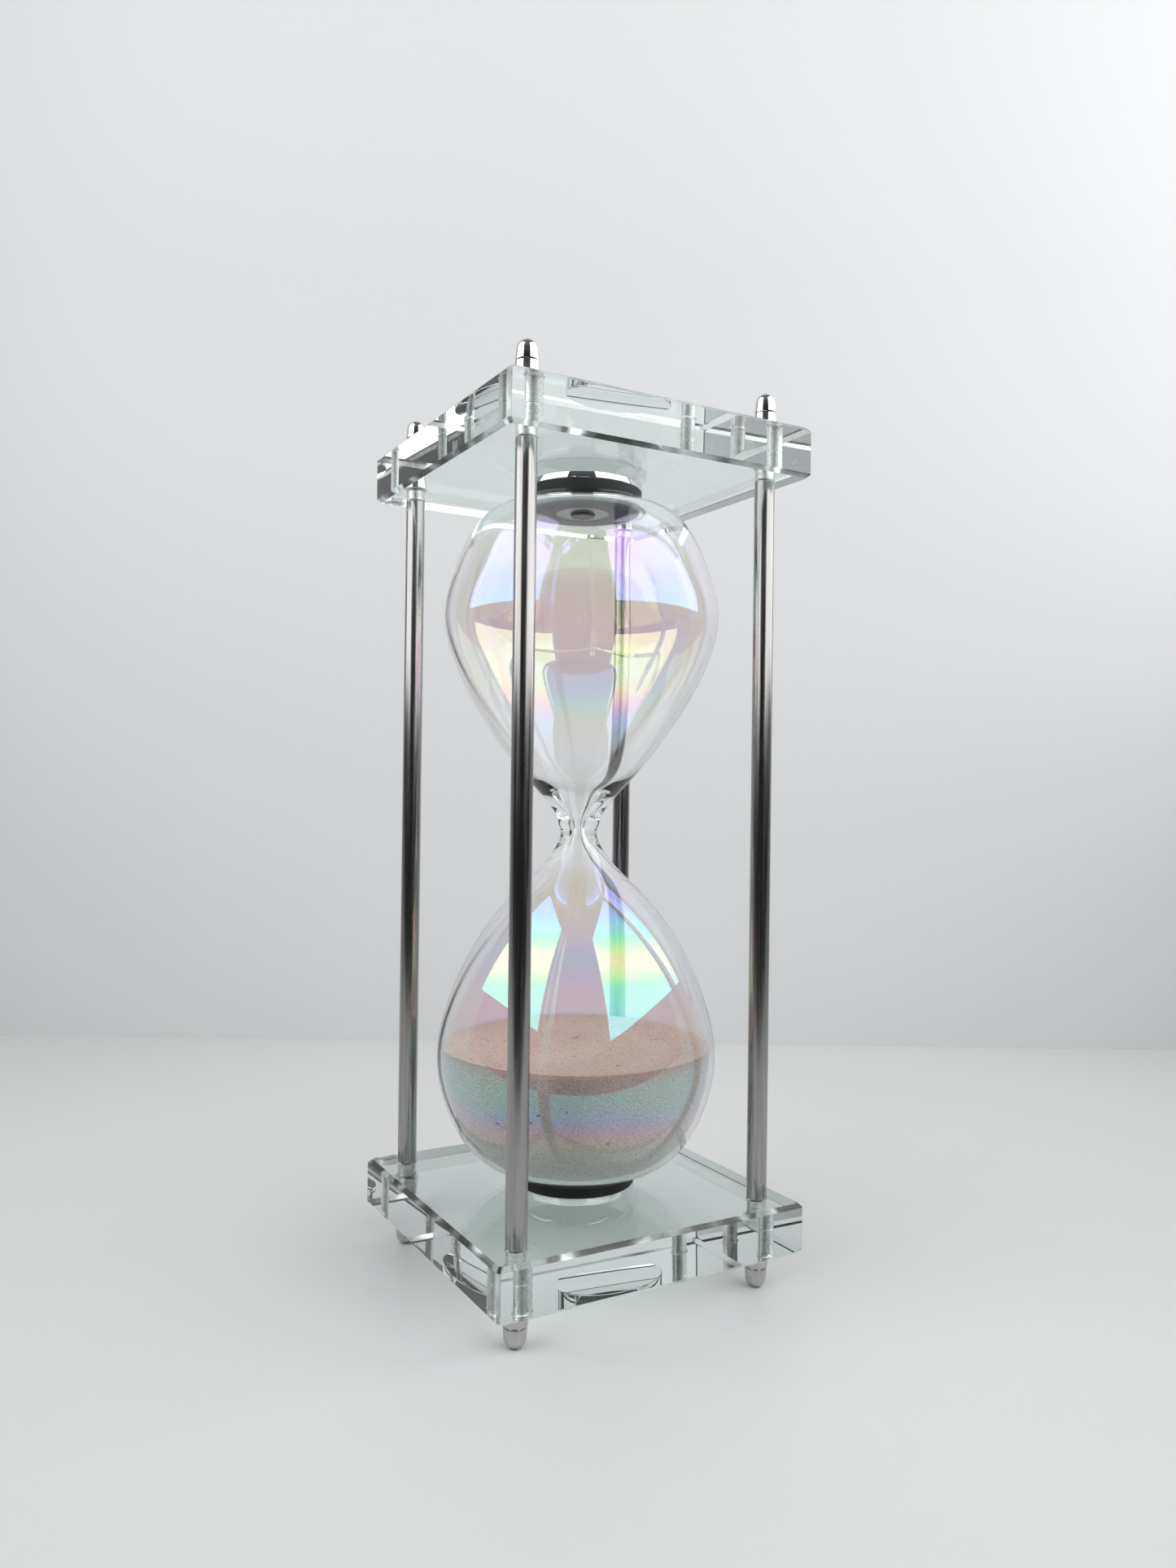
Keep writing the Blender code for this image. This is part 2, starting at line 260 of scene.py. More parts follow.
# %% Soft lights and the room behind the camera
LIGHT_DISTANCE = 0.42
LIGHT_LOW = 0.245
LIGHT_HIGH = 1.05
LIGHT_RADIANCE = 2.35
LEFT_LIGHT = (65.5, 0.56)   # degrees from the camera's direction, and width
RIGHT_LIGHT = (-71.5, 0.82)
PALE_ROOM = (0.56, 0.59, 0.60)
PALE_STRENGTH = 0.95
# Height of a direction, from 0 at the horizon to 1 overhead, and the dark room's colour there.
DARK_ROOM = ((0.30, (0.028, 0.028, 0.030)), (0.36, (0.055, 0.055, 0.058)), (0.95, (0.17, 0.172, 0.175)))


def add_soft_light(name, angle, width):
    """A tall panel that faces the hourglass, turned by the angle from the camera's azimuth."""
    towards = CAMERA_AZIMUTH + math.pi + math.radians(angle)
    data = bpy.data.lights.new(name, "AREA")
    data.shape = "RECTANGLE"
    data.size = width
    data.size_y = LIGHT_HIGH - LIGHT_LOW
    data.energy = math.pi * data.size * data.size_y * LIGHT_RADIANCE
    light = bpy.data.objects.new(name, data)
    middle = (LIGHT_LOW + LIGHT_HIGH) / 2
    light.location = (LIGHT_DISTANCE * math.sin(towards), LIGHT_DISTANCE * math.cos(towards), middle)
    aim = Vector((0, 0, middle)) - light.location
    light.rotation_euler = aim.to_track_quat("-Z", "Y").to_euler()
    light.visible_camera = False
    bpy.context.scene.collection.objects.link(light)


def add_world():
    """Pale surroundings. Mirrored and bent light sees a dark room with a faint ceiling."""
    world = bpy.data.worlds.new("room")
    world.use_nodes = True
    bpy.context.scene.world = world
    tree = world.node_tree
    pale = tree.nodes["Background"]
    pale.inputs["Color"].default_value = (*PALE_ROOM, 1.0)
    pale.inputs["Strength"].default_value = PALE_STRENGTH
    room = tree.nodes.new("ShaderNodeBackground")
    coordinates = tree.nodes.new("ShaderNodeTexCoord")
    parts = tree.nodes.new("ShaderNodeSeparateXYZ")
    tree.links.new(coordinates.outputs["Generated"], parts.inputs["Vector"])
    ramp = tree.nodes.new("ShaderNodeValToRGB")
    for element, (height, colour) in zip(ramp.color_ramp.elements, DARK_ROOM):
        element.position = height
        element.color = (*colour, 1.0)
    ceiling = ramp.color_ramp.elements.new(DARK_ROOM[-1][0])
    ceiling.color = (*DARK_ROOM[-1][1], 1.0)
    tree.links.new(parts.outputs["Z"], ramp.inputs["Fac"])
    tree.links.new(ramp.outputs["Color"], room.inputs["Color"])
    path = tree.nodes.new("ShaderNodeLightPath")
    seen = tree.nodes.new("ShaderNodeMath")
    seen.operation = "MAXIMUM"
    tree.links.new(path.outputs["Is Camera Ray"], seen.inputs[0])
    tree.links.new(path.outputs["Is Diffuse Ray"], seen.inputs[1])
    mix = tree.nodes.new("ShaderNodeMixShader")
    tree.links.new(seen.outputs["Value"], mix.inputs["Fac"])
    tree.links.new(room.outputs["Background"], mix.inputs[1])
    tree.links.new(pale.outputs["Background"], mix.inputs[2])
    tree.links.new(mix.outputs["Shader"], tree.nodes["World Output"].inputs["Surface"])


add_soft_light("soft_light_left", *LEFT_LIGHT)
add_soft_light("soft_light_right", *RIGHT_LIGHT)
add_world()

# %% [markdown]
# Surfaces
#
# Almost everything here was turned, drilled, moulded or blown, so it is round. One function turns a
# profile of (radius, height) points into a grid of points, a second makes a mesh from a grid, and a
# third welds poles and seams and makes the faces point outwards.

# %% Surface helpers
WELD_DISTANCE = 1e-7
FLAT_DISTANCE = 1e-8


def turn(profile, steps, wobble=None):
    """Grid of points: profile point (r, z) at angle t is (r cos t, r sin t, z).

    wobble, if given, is a function of (r, z, t) that returns what is added to the radius."""
    radius, height = np.asarray(profile, dtype=float).T
    angle = np.linspace(0.0, 2 * np.pi, steps, endpoint=False)
    r, t = np.meshgrid(radius, angle, indexing="ij")
    z = np.meshgrid(height, angle, indexing="ij")[0]
    if wobble is not None:
        r = r + wobble(r, z, t)
    return np.stack([r * np.cos(t), r * np.sin(t), z], axis=-1)


def grid_faces(rows, columns, loop_rows=False):
    """Corner numbers of the quads of a grid whose columns wrap round."""
    last = rows if loop_rows else rows - 1
    row, column = np.meshgrid(np.arange(last), np.arange(columns), indexing="ij")
    next_row = (row + 1) % rows
    next_column = (column + 1) % columns
    quads = np.stack([row * columns + column, row * columns + next_column,
                      next_row * columns + next_column, next_row * columns + column], axis=-1)
    return quads.reshape(-1, 4)


def make_piece(name, grid, finishes, band=None, loop=False, sharp=40.0, centre=(0, 0)):
    """Mesh object from a grid. band gives each profile step's finish number."""
    rows, columns = grid.shape[:2]
    points = grid.reshape(-1, 3) + np.array([centre[0], centre[1], 0.0])
    quads = grid_faces(rows, columns, loop)
    mesh = bpy.data.meshes.new(name)
    mesh.from_pydata(points.tolist(), [], quads.tolist())
    if band is not None:
        mesh.polygons.foreach_set("material_index", np.repeat(band, columns).astype(np.int32))
    for net in finishes:
        mesh.materials.append(net.material)
    return finish_piece(name, mesh, sharp)


def finish_piece(name, mesh, sharp):
    """Weld poles and seams, drop flat slivers, turn faces outwards and shade round parts smooth."""
    shape = bmesh.new()
    shape.from_mesh(mesh)
    bmesh.ops.remove_doubles(shape, verts=shape.verts, dist=WELD_DISTANCE)
    bmesh.ops.dissolve_degenerate(shape, edges=shape.edges, dist=FLAT_DISTANCE)
    bmesh.ops.recalc_face_normals(shape, faces=shape.faces)
    shape.to_mesh(mesh)
    shape.free()
    mesh.shade_smooth()
    mesh.set_sharp_from_angle(angle=math.radians(sharp))
    piece = bpy.data.objects.new(name, mesh)
    bpy.context.scene.collection.objects.link(piece)
    return piece


def settle(piece, slot, *nodes):
    """The piece rides on the one body and stands in for its nodes, which are hidden; the slot is
    printed.
    """
    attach(piece, "root")
    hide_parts(*nodes)
    print(f"{piece.name}: {len(piece.data.polygons)} faces, {slot}")


def middle_of(node):
    low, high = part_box(node)
    return (low[0] + high[0]) / 2, (low[1] + high[1]) / 2


def spline(points, per_span):
    """Natural cubic spline through the points over their chord length.

    The bends at the points solve one tridiagonal system, so slope and bend are both continuous."""
    knots = np.asarray(points, dtype=float)
    run = np.concatenate([[0.0], np.cumsum(np.linalg.norm(np.diff(knots, axis=0), axis=1))])
    h = np.diff(run)
    count = len(knots)
    system = np.eye(count)
    right = np.zeros_like(knots)
    for i in range(1, count - 1):
        system[i, i - 1:i + 2] = h[i - 1], 2 * (h[i - 1] + h[i]), h[i]
        right[i] = 6 * ((knots[i + 1] - knots[i]) / h[i] - (knots[i] - knots[i - 1]) / h[i - 1])
    bend = np.linalg.solve(system, right)
    at = np.linspace(0.0, run[-1], per_span * (count - 1) + 1)
    span = np.clip(np.searchsorted(run, at, side="right") - 1, 0, count - 2)
    a = ((run[span + 1] - at) / h[span])[:, None]
    b = 1.0 - a
    hh = (h[span] ** 2)[:, None] / 6
    bent = hh * ((a ** 3 - a) * bend[span] + (b ** 3 - b) * bend[span + 1])
    return a * knots[span] + b * knots[span + 1] + bent


# %% [markdown]
# The blown bulb
#
# The bulb is one tube of glass, blown out above and below a pinched neck. The glass gathers at the
# neck, so the wall is thick there and thin where it was blown wide. A plain sphere pair would miss
# the straight cone above the neck and the fuller curve below it, so the outline is a smooth curve
# through measured points. The inner wall is the outline moved inwards along its own normals. Glass
# refracts at both walls, which is why the bulb is one closed body with a true inside.
#
# The outside carries a lustre: a metal-oxide film a few hundred nanometres thick, which splits white
# light into the rainbow of a soap bubble. The Principled shader works this out from the film's
# thickness, so the thickness is what varies over the glass, slowly with height and with soft clouds.

# %% Finish of the bulb
FILM_INDEX = 2.15
GLASS_INDEX = 1.47
GLASS_COLOUR = (0.985, 0.99, 0.99, 1.0)
# Height from the mid-plane and the film's thickness in nanometres, bottom to top. The vapour came
# from one side, so the film on the far side of the upper bulb grows thicker towards the neck.
FILM_BELOW = (
    (-0.0900, 205), (-0.0850, 228), (-0.0825, 248), (-0.0800, 270), (-0.0770, 288),
    (-0.0720, 298), (-0.0605, 282), (-0.0520, 290), (-0.0420, 304), (-0.0385, 330),
    (-0.0350, 346), (-0.0320, 336), (-0.0280, 310), (-0.0220, 290), (-0.0100, 285),
)
FILM_NEAR_SIDE = FILM_BELOW + (
    (0.0240, 270), (0.0450, 272), (0.0520, 277), (0.0600, 280), (0.0680, 272), (0.0900, 270),
)
FILM_FAR_SIDE = FILM_BELOW + (
    (0.0150, 290), (0.0240, 425), (0.0360, 415), (0.0400, 386), (0.0447, 345), (0.0490, 306),
    (0.0527, 289), (0.0580, 279), (0.0700, 274), (0.0900, 272),
)
FAR_SIDE = (0.50, 0.87)     # level direction from the near side to the far side
FILM_AT_FLANKS = 20.0       # how much thicker it is to the left and right of that direction
# Height and how much of the glass the film covers: none at the ends and round the neck.
FILM_COVER = (
    (-0.0920, 0.0), (-0.0830, 0.5), (-0.0780, 0.95), (-0.0140, 1.0), (-0.0060, 0.0),
    (0.0260, 0.0), (0.0360, 0.55), (0.0480, 0.7), (0.0600, 1.0), (0.0860, 1.0), (0.0930, 0.0),
)
FILM_SCALE = 500.0          # a ramp of greys runs from 0 to 1, and 1 stands for this many nanometres
FILM_DRIFT = 0.018          # how far slow clouds move the thickness either way, as a share of the scale
SIDE_BLEND = 0.010          # distance from the axis over which the near side turns into the far side
FLANK_REACH = (0.010, 0.028)


def by_height(net, table, scale):
    """A value that follows the height over the bulb, read from a ramp of greys."""
    low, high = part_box("glass_bulb")
    middle = (low[2] + high[2]) / 2
    coordinates = net.add("ShaderNodeTexCoord")
    parts = net.add("ShaderNodeSeparateXYZ")
    net.join(coordinates, "Object", parts, "Vector")
    along = net.spread(parts, "Z", low[2], high[2], 0.0, 1.0)
    tall = high[2] - low[2]
    stops = [((height + middle - low[2]) / tall, (value / scale,) * 3) for height, value in table]
    return net.ramp(along, "Result", stops)


def far_share(net):
    """0 on the near side of the bulb and 1 on the far side."""
    across = net.add("ShaderNodeVectorMath", operation="DOT_PRODUCT")
    across.inputs[1].default_value = (*FAR_SIDE, 0.0)
    net.join(net.add("ShaderNodeTexCoord"), "Object", across, 0)
    return net.spread(across, "Value", -SIDE_BLEND, SIDE_BLEND, 0.0, 1.0)


def flank_extra(net):
    """Extra film to either side of the near-to-far direction, as a share of FILM_SCALE."""
    across = net.add("ShaderNodeVectorMath", operation="DOT_PRODUCT")
    across.inputs[1].default_value = (FAR_SIDE[1], -FAR_SIDE[0], 0.0)
    net.join(net.add("ShaderNodeTexCoord"), "Object", across, 0)
    size = net.add("ShaderNodeMath", operation="ABSOLUTE")
    net.join(across, "Value", size, 0)
    return net.spread(size, "Value", *FLANK_REACH, 0.0, FILM_AT_FLANKS / FILM_SCALE)


def lustre_finish():
    """Glass under a film whose thickness is the height's, plus slow clouds, plus the flanks' extra."""
    net = Net("bulb_lustre_glass")
    plain = net.add("ShaderNodeBsdfPrincipled")
    for shader in (net.shader, plain):
        shader.inputs["Roughness"].default_value = 0.0
        shader.inputs["IOR"].default_value = GLASS_INDEX
        shader.inputs["Transmission Weight"].default_value = 1.0
        shader.inputs["Base Color"].default_value = GLASS_COLOUR
    net.set(Thin_Film_IOR=FILM_INDEX)
    climb = net.add("ShaderNodeMix", data_type="RGBA")
    net.join(far_share(net), "Result", climb, "Factor")
    net.tree.links.new(by_height(net, FILM_NEAR_SIDE, FILM_SCALE).outputs["Color"], climb.inputs["A"])
    net.tree.links.new(by_height(net, FILM_FAR_SIDE, FILM_SCALE).outputs["Color"], climb.inputs["B"])
    cloud = net.noise(net.place(), 13.0, detail=1.5)
    drift = net.spread(cloud, "Fac", 0.3, 0.7, -FILM_DRIFT, FILM_DRIFT)
    total = net.add("ShaderNodeMath", operation="ADD")
    net.join(climb, "Result", total, 0)
    net.join(drift, "Result", total, 1)
    wider = net.add("ShaderNodeMath", operation="ADD")
    net.join(total, "Value", wider, 0)
    net.join(flank_extra(net), "Result", wider, 1)
    thickness = net.add("ShaderNodeMath", operation="MULTIPLY")
    thickness.inputs[1].default_value = FILM_SCALE
    net.join(wider, "Value", thickness, 0)
    net.join(thickness, "Value", net.shader, "Thin Film Thickness")
    ripple = net.noise(net.place(scale=(1, 1, 0.35)), 55.0, detail=2.0)
    bump = net.bump(ripple, "Fac", 0.05, 0.001)
    net.join(bump, "Normal", plain, "Normal")
    cover = by_height(net, FILM_COVER, 1.0)
    blend = net.add("ShaderNodeMixShader")
    net.join(cover, "Color", blend, "Fac")
    net.tree.links.new(plain.outputs["BSDF"], blend.inputs[1])
    net.tree.links.new(net.shader.outputs["BSDF"], blend.inputs[2])
    net.clear_shadow((0.86, 0.82, 0.80), blend.outputs["Shader"])
    return net


def inner_glass_finish():
    net = Net("bulb_inner_glass")
    net.set(Roughness=0.0, IOR=GLASS_INDEX, Transmission_Weight=1.0, Base_Color=GLASS_COLOUR)
    ripple = net.noise(net.place(), 40.0, detail=1.0)
    net.bump(ripple, "Fac", 0.04, 0.001)
    net.clear_shadow((0.96, 0.97, 0.97))
    return net


lustre = lustre_finish()
inner_glass = inner_glass_finish()

# %% Outline of the bulb
# Radius, and height from the mid-plane, from the flat upper end to the flat lower end.
BULB_OUTLINE = (
    (0.0168, 0.1020), (0.0270, 0.1004), (0.0332, 0.0950), (0.0392, 0.0825), (0.0425, 0.0685),
    (0.0381, 0.0506), (0.0257, 0.0294), (0.0145, 0.0154), (0.0070, 0.0060), (0.0057, 0.0028),
    (0.0056, 0.0004), (0.0070, -0.0034), (0.0185, -0.0163), (0.0300, -0.0304), (0.0400, -0.0515),
    (0.0430, -0.0670), (0.0398, -0.0840), (0.0334, -0.0953), (0.0270, -0.1004), (0.0168, -0.1020),
)
SPLINE_STEPS = 11
BULB_STEPS = 160
WALL = 0.0015
NECK_EXTRA = 0.0030
NECK_THICKEST = 0.005       # height above the mid-plane where the wall is thickest
NECK_REACH_UP = 0.0085
NECK_REACH_DOWN = 0.012
NECK_BORE_RADIUS = 0.0011
LIP_HEIGHT = 0.0034         # small ring of glass just above the waist
LIP_REACH = 0.0011
LIP_SIZE = 0.0006
FILL_HOLE_RADIUS = 0.004
DIMPLE_RADIUS = 0.0083
DIMPLE_DEPTH = 0.0010
DIMPLE_SLOPE = 0.0004       # how far the dimple's side leans outwards
FLAT_RADIUS = 0.0125        # the flat end runs on to this radius before the outline takes over
END_RINGS = (0.012, 0.006, 0.0)
BULB_WAVE = 0.00012
WAVE_FADE = 0.02            # the waves die away over this length towards the axis and the ends

bulb_low, bulb_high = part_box("glass_bulb")
mid_z = (bulb_low[2] + bulb_high[2]) / 2
bulb_end = (bulb_high[2] - bulb_low[2]) / 2
outer_line = spline(BULB_OUTLINE, SPLINE_STEPS)


def inward(line, depth):
    """Each point of the outline moved by depth along its inward normal."""
    run = np.gradient(line, axis=0)
    length = np.hypot(run[:, 0], run[:, 1])
    normal = np.column_stack([run[:, 1], -run[:, 0]]) / length[:, None]
    return line + normal * depth[:, None]


def wall_depth(height):
    """Thin where blown wide and thick round the neck, by a bell curve with unequal sides."""
    above = height - NECK_THICKEST
    reach = np.where(above > 0, NECK_REACH_UP, NECK_REACH_DOWN)
    return WALL + NECK_EXTRA * np.exp(-(above / reach) ** 2)


inner_line = inward(outer_line, wall_depth(outer_line[:, 1]))
outer_line[:, 0] += LIP_SIZE * np.exp(-((outer_line[:, 1] - LIP_HEIGHT) / LIP_REACH) ** 2)
inner_line[:, 0] = np.maximum(inner_line[:, 0], NECK_BORE_RADIUS)
print("bulb: widest", round(outer_line[:, 0].max() * 2000, 1), "mm, neck bore",
      round(inner_line[:, 0].min() * 2000, 1), "mm")


# %% Bulb surface
def bulb_wobble(r, z, t):
    """Blown glass is never quite round: a tenth of a millimetre of slow waves, none at the ends."""
    fade = np.clip(r / WAVE_FADE, 0.0, 1.0) * np.clip((bulb_end - np.abs(z)) / WAVE_FADE, 0.0, 1.0)
    return BULB_WAVE * fade * (np.sin(2 * t + 40 * z) + 0.6 * np.sin(3 * t - 70 * z + 1.0))


def make_bulb():
    """One closed profile: dimple, outside, lower end, inside, and back to the rim of the fill hole."""
    seat = bulb_end - DIMPLE_DEPTH
    top = [(FILL_HOLE_RADIUS, seat), (DIMPLE_RADIUS, seat), (DIMPLE_RADIUS + DIMPLE_SLOPE, bulb_end),
           (FLAT_RADIUS, bulb_end)]
    floor = [(r, -bulb_end) for r in END_RINGS]
    outside = np.vstack([top, outer_line, floor])
    inner_floor = [(r, inner_line[-1][1]) for r in END_RINGS[::-1]]
    ceiling = [(r, inner_line[0][1]) for r in np.linspace(FILL_HOLE_RADIUS, inner_line[0][0], 8)[:-1]]
    profile = np.vstack([outside, inner_floor, inner_line[::-1], ceiling[::-1]])
    band = np.ones(len(profile), dtype=int)
    band[1:len(outside) - 1] = 0        # the film lies on the outside only, and not in the dimple
    grid = turn(profile, BULB_STEPS, bulb_wobble)
    grid[..., 2] += mid_z
    piece = make_piece("blown_bulb", grid, [lustre, inner_glass], band, loop=True, sharp=50)
    settle(piece, "bulb_glass", "glass_bulb")


make_bulb()

# %% [markdown]
# Fill plug, pads and beads
#
# A soft clear stopper closes the fill hole. A black rubber disc sits between each flat end of the
# bulb and its plate and takes up the clamping force, and a bead of clear silicone runs round it in
# the corner with the glass. The bead was laid by hand, so its radius swells and thins a little.

# %% Silicone and rubber
SILICONE_INDEX = 1.41


def silicone_finish():
    net = Net("clear_silicone")
    net.set(IOR=SILICONE_INDEX, Transmission_Weight=1.0, Base_Color=(0.95, 0.97, 0.97, 1.0))
    net.roughen(net.noise(net.place(), 300.0), 0.3, 0.7, 0.0, 0.03)
    lumps = net.noise(net.place(), 700.0)
    net.bump(lumps, "Fac", 0.04, 0.0004)
    net.clear_shadow((0.9, 0.92, 0.92))
    return net


def rubber_finish():
    net = Net("black_rubber")
    net.set(Specular_IOR_Level=0.35)
    cloud = net.noise(net.place(), 120.0)
    net.tint(cloud, (0.3, (0.006, 0.006, 0.007)), (0.7, (0.014, 0.014, 0.016)))
    grain = net.noise(net.place(), 2600.0)
    net.roughen(grain, 0.3, 0.7, 0.42, 0.62)
    net.bump(grain, "Fac", 0.25, 0.0001)
    return net


silicone = silicone_finish()
rubber = rubber_finish()


# %% Plug, pads and beads
BEAD_SHOWN = 0.5            # the cured bead has shrunk back into its corner
CONTACT = 0.00032           # rubber and silicone wet the glass, so no air shows between them
PLUG_EDGE = 0.0003
PAD_EDGE = 0.0004
PAD_TAPER = 0.0005          # the glass side of a pad is this much narrower than its plate side
BEAD_TOE = 0.0005
BEAD_START = 0.06           # share of the bead's height that stands upright on the glass
BEAD_CURVE = 2.4
BEAD_SWELL = 0.00022
BEAD_OUTER = (0.0190, 0.0012)       # radius where the swells start, and how soon they are full


def corner_arc(r, z, size, start, stop, steps=5):
    """Part of a circle of radius size round (r, z), from angle start to stop in quarter turns."""
    t = np.linspace(start, stop, steps) * np.pi / 2
    return [(r + size * c, z + size * s) for c, s in zip(np.cos(t), np.sin(t))]


def make_plug():
    low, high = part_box("fill_plug")
    head = (high[0] - low[0]) / 2
    shank = FILL_HOLE_RADIUS - PLUG_EDGE
    under = high[2] - DIMPLE_DEPTH + PLUG_EDGE
    profile = [(0.0, high[2]), (head * 0.6, high[2])]
    profile += corner_arc(head - PLUG_EDGE, high[2] - PLUG_EDGE, PLUG_EDGE, 1, 0)
    profile += [(head, under), (shank, under), (shank, low[2] + PLUG_EDGE),
                (shank - PLUG_EDGE, low[2]), (0.0, low[2])]
    settle(make_piece("clear_plug", turn(profile, 64), [silicone]), "clear_silicone", "fill_plug")


def make_pad(node, side):
    low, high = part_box(node)
    wide = (high[0] - low[0]) / 2
    narrow = wide - PAD_TAPER
    plate_z, glass_z = (high[2], low[2]) if side > 0 else (low[2], high[2])
    glass_z -= side * CONTACT
    profile = [(0.0, plate_z), (wide * 0.5, plate_z)]
    profile += corner_arc(wide - PAD_EDGE, plate_z - side * PAD_EDGE, PAD_EDGE, side, 0)
    profile += corner_arc(narrow - PAD_EDGE, glass_z + side * PAD_EDGE, PAD_EDGE, 0, -side)
    profile += [(narrow * 0.5, glass_z), (0.0, glass_z)]
    settle(make_piece(f"{node}_rubber", turn(profile, 128), [rubber]), "black_rubber", node)


def bead_wobble(r, z, t):
    """Hand-laid bead: three slow swells round the ring on its outer side."""
    start, run = BEAD_OUTER
    outer = np.clip((r - start) / run, 0.0, 1.0)
    swells = np.sin(5 * t + 0.8) * 0.5 + np.sin(11 * t) * 0.3 + np.sin(23 * t + 2) * 0.2
    return -outer * BEAD_SWELL * (1 + swells)


def make_bead(node, side):
    low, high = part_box(node)
    wide = (high[0] - low[0]) / 2
    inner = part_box(node.replace("bead", "pad"))[1][0] - 0.0001
    tall = (high[2] - low[2]) * BEAD_SHOWN
    glass_z = low[2] if side > 0 else high[2]
    swell = np.linspace(0.0, 1.0, 14)
    bulge = np.sqrt(np.clip(1 - swell ** BEAD_CURVE, 0, 1))
    reach = inner + BEAD_TOE + (wide - inner - BEAD_TOE) * bulge
    climb = glass_z + side * tall * (BEAD_START + (1 - BEAD_START) * swell)
    profile = [(inner - BEAD_TOE, glass_z), (wide - 0.0004, glass_z)]
    profile += list(zip(reach, climb)) + [(inner - 0.0003, climb[-1])]
    piece = make_piece(f"{node}_silicone", turn(profile, 160, bead_wobble), [silicone], loop=True)
    settle(piece, "clear_silicone", node)


make_plug()
for end, side in (("upper", 1), ("lower", -1)):
    make_pad(f"{end}_pad", side)
    make_bead(f"{end}_bead", side)

# %% [markdown]
# Sand
#
# The filling is fine white glass sand. From here single grains hardly show, but some face the light
# and flash, and a few dark ones are mixed in. The heap fills the lower bulb to a nearly level top.
# Its sides lie against the glass. The top is a height field: gentle slopes, and a fine grain.
# The sand is painted brighter towards the bottom and painted a warmer, deeper shade towards the top,
# for the light that reaches it through the lustre.

# %% Sand finish
SAND_GRAINS = 1500.0
DARK_GRAINS_ABOVE = 0.9985      # one grain in about seven hundred is dark
# Height on the stand, and the painted light on the sand there: painted brighter low down, painted shade
# with a warm tint near the top.
SAND_PAINTED_LIGHT = [
    (0.034, (1.0, 1.0, 1.0)), (0.050, (0.92, 0.92, 0.92)), (0.062, (0.74, 0.74, 0.74)),
    (0.0670, (0.72, 0.70, 0.67)), (0.0685, (0.63, 0.565, 0.49)),
]


def sand_finish():
    net = Net("glitter_sand")
    net.set(Specular_IOR_Level=0.85)
    where = net.place()
    tone = net.noise(where, 1800.0, detail=2.0)
    shade = net.ramp(tone, "Fac", [
        (0.30, (0.52, 0.515, 0.50)),
        (0.52, (0.66, 0.65, 0.63)),
        (0.75, (0.79, 0.78, 0.76)),
    ])
    grains = net.add("ShaderNodeTexVoronoi", {"Scale": SAND_GRAINS})
    net.join(where, "Vector", grains, "Vector")
    pick = net.add("ShaderNodeSeparateColor")
    net.join(grains, "Color", pick, "Color")
    dark = net.add("ShaderNodeMath", operation="GREATER_THAN")
    dark.inputs[1].default_value = DARK_GRAINS_ABOVE
    net.join(pick, "Red", dark, 0)
    specks = net.add("ShaderNodeMix", data_type="RGBA")
    specks.inputs["B"].default_value = (0.09, 0.07, 0.06, 1.0)
    net.join(dark, "Value", specks, "Factor")
    net.tree.links.new(shade.outputs["Color"], specks.inputs["A"])
    parts = net.add("ShaderNodeSeparateXYZ")
    net.join(where, "Vector", parts, "Vector")
    # Painted light: the sand is painted brighter low down and painted darker and warmer near its top.
    painted_sand_light = net.ramp(parts, "Z", SAND_PAINTED_LIGHT)
    sand_with_painted_light = net.add("ShaderNodeMix", data_type="RGBA", blend_type="MULTIPLY")
    sand_with_painted_light.inputs["Factor"].default_value = 1.0
    net.tree.links.new(specks.outputs["Result"], sand_with_painted_light.inputs["A"])
    net.tree.links.new(painted_sand_light.outputs["Color"], sand_with_painted_light.inputs["B"])
    net.tree.links.new(sand_with_painted_light.outputs["Result"], net.shader.inputs["Base Color"])
    flash = net.spread(pick, "Green", 0.86, 0.93, 0.75, 0.08)
    net.join(flash, "Result", net.shader, "Roughness")
    net.bump(grains, "Distance", 0.6, 0.0003)
    return net


sand_look = sand_finish()


# %% Sand heap
SAND_CROWN = 0.0014
CROWN_REACH = 0.016
SAND_SLOPE = 0.0007
SAND_HOLLOW = 0.0004
SAND_GRAIN = 0.00005
SAND_HEADROOM = 0.0015      # the level lies this far below the top of the heap's box
SAND_GAP = 0.00015          # between the sand and the inner wall
SHORE_FADE = 0.004


def sand_top(r, t):
    """Low crown under the neck, a slight tilt to one side, and three faint curved hollows."""
    crown = SAND_CROWN * np.exp(-(r / CROWN_REACH) ** 2)
    slope = SAND_SLOPE * np.sin(t + 0.9) * (r / 0.04)
    hollows = SAND_HOLLOW * np.sin(3 * t + r * 260)
    return crown + slope + hollows * np.clip(r / 0.02, 0, 1)


def make_sand():
    low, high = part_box("sand")
    level = high[2] - SAND_HEADROOM - mid_z
    skin = inward(outer_line, wall_depth(outer_line[:, 1]) + SAND_GAP)
    side = skin[(skin[:, 1] < level) & (skin[:, 1] > low[2] - mid_z)]
    shore = side[0][0] + (side[0][0] - side[1][0]) * 0.5
    rings = np.linspace(0.0, shore, 90)
    top = np.column_stack([rings, np.full(len(rings), level)])
    floor_z = low[2] - mid_z
    floor = np.array([(side[-1][0] * k, floor_z) for k in (0.96, 0.5, 0.0)])
    grid = turn(np.vstack([top, side, floor]), 200)
    count = len(top)
    x, y = grid[:count, :, 0], grid[:count, :, 1]
    r, t = np.hypot(x, y), np.arctan2(y, x)
    fade = np.clip((shore - r) / SHORE_FADE, 0.0, 1.0)
    grain = np.random.default_rng(7).normal(0.0, SAND_GRAIN, r.shape)
    grain[0] = grain[0, 0]
    lift = sand_top(r, t) * (0.5 + 0.5 * fade) + grain * fade
    lift[0] = sand_top(0.0, 0.0)
    grid[:count, :, 2] += np.minimum(lift, SAND_HEADROOM)
    grid[..., 2] += mid_z
    settle(make_piece("white_sand_heap", grid, [sand_look], sharp=70), "white_sand", "sand")


make_sand()

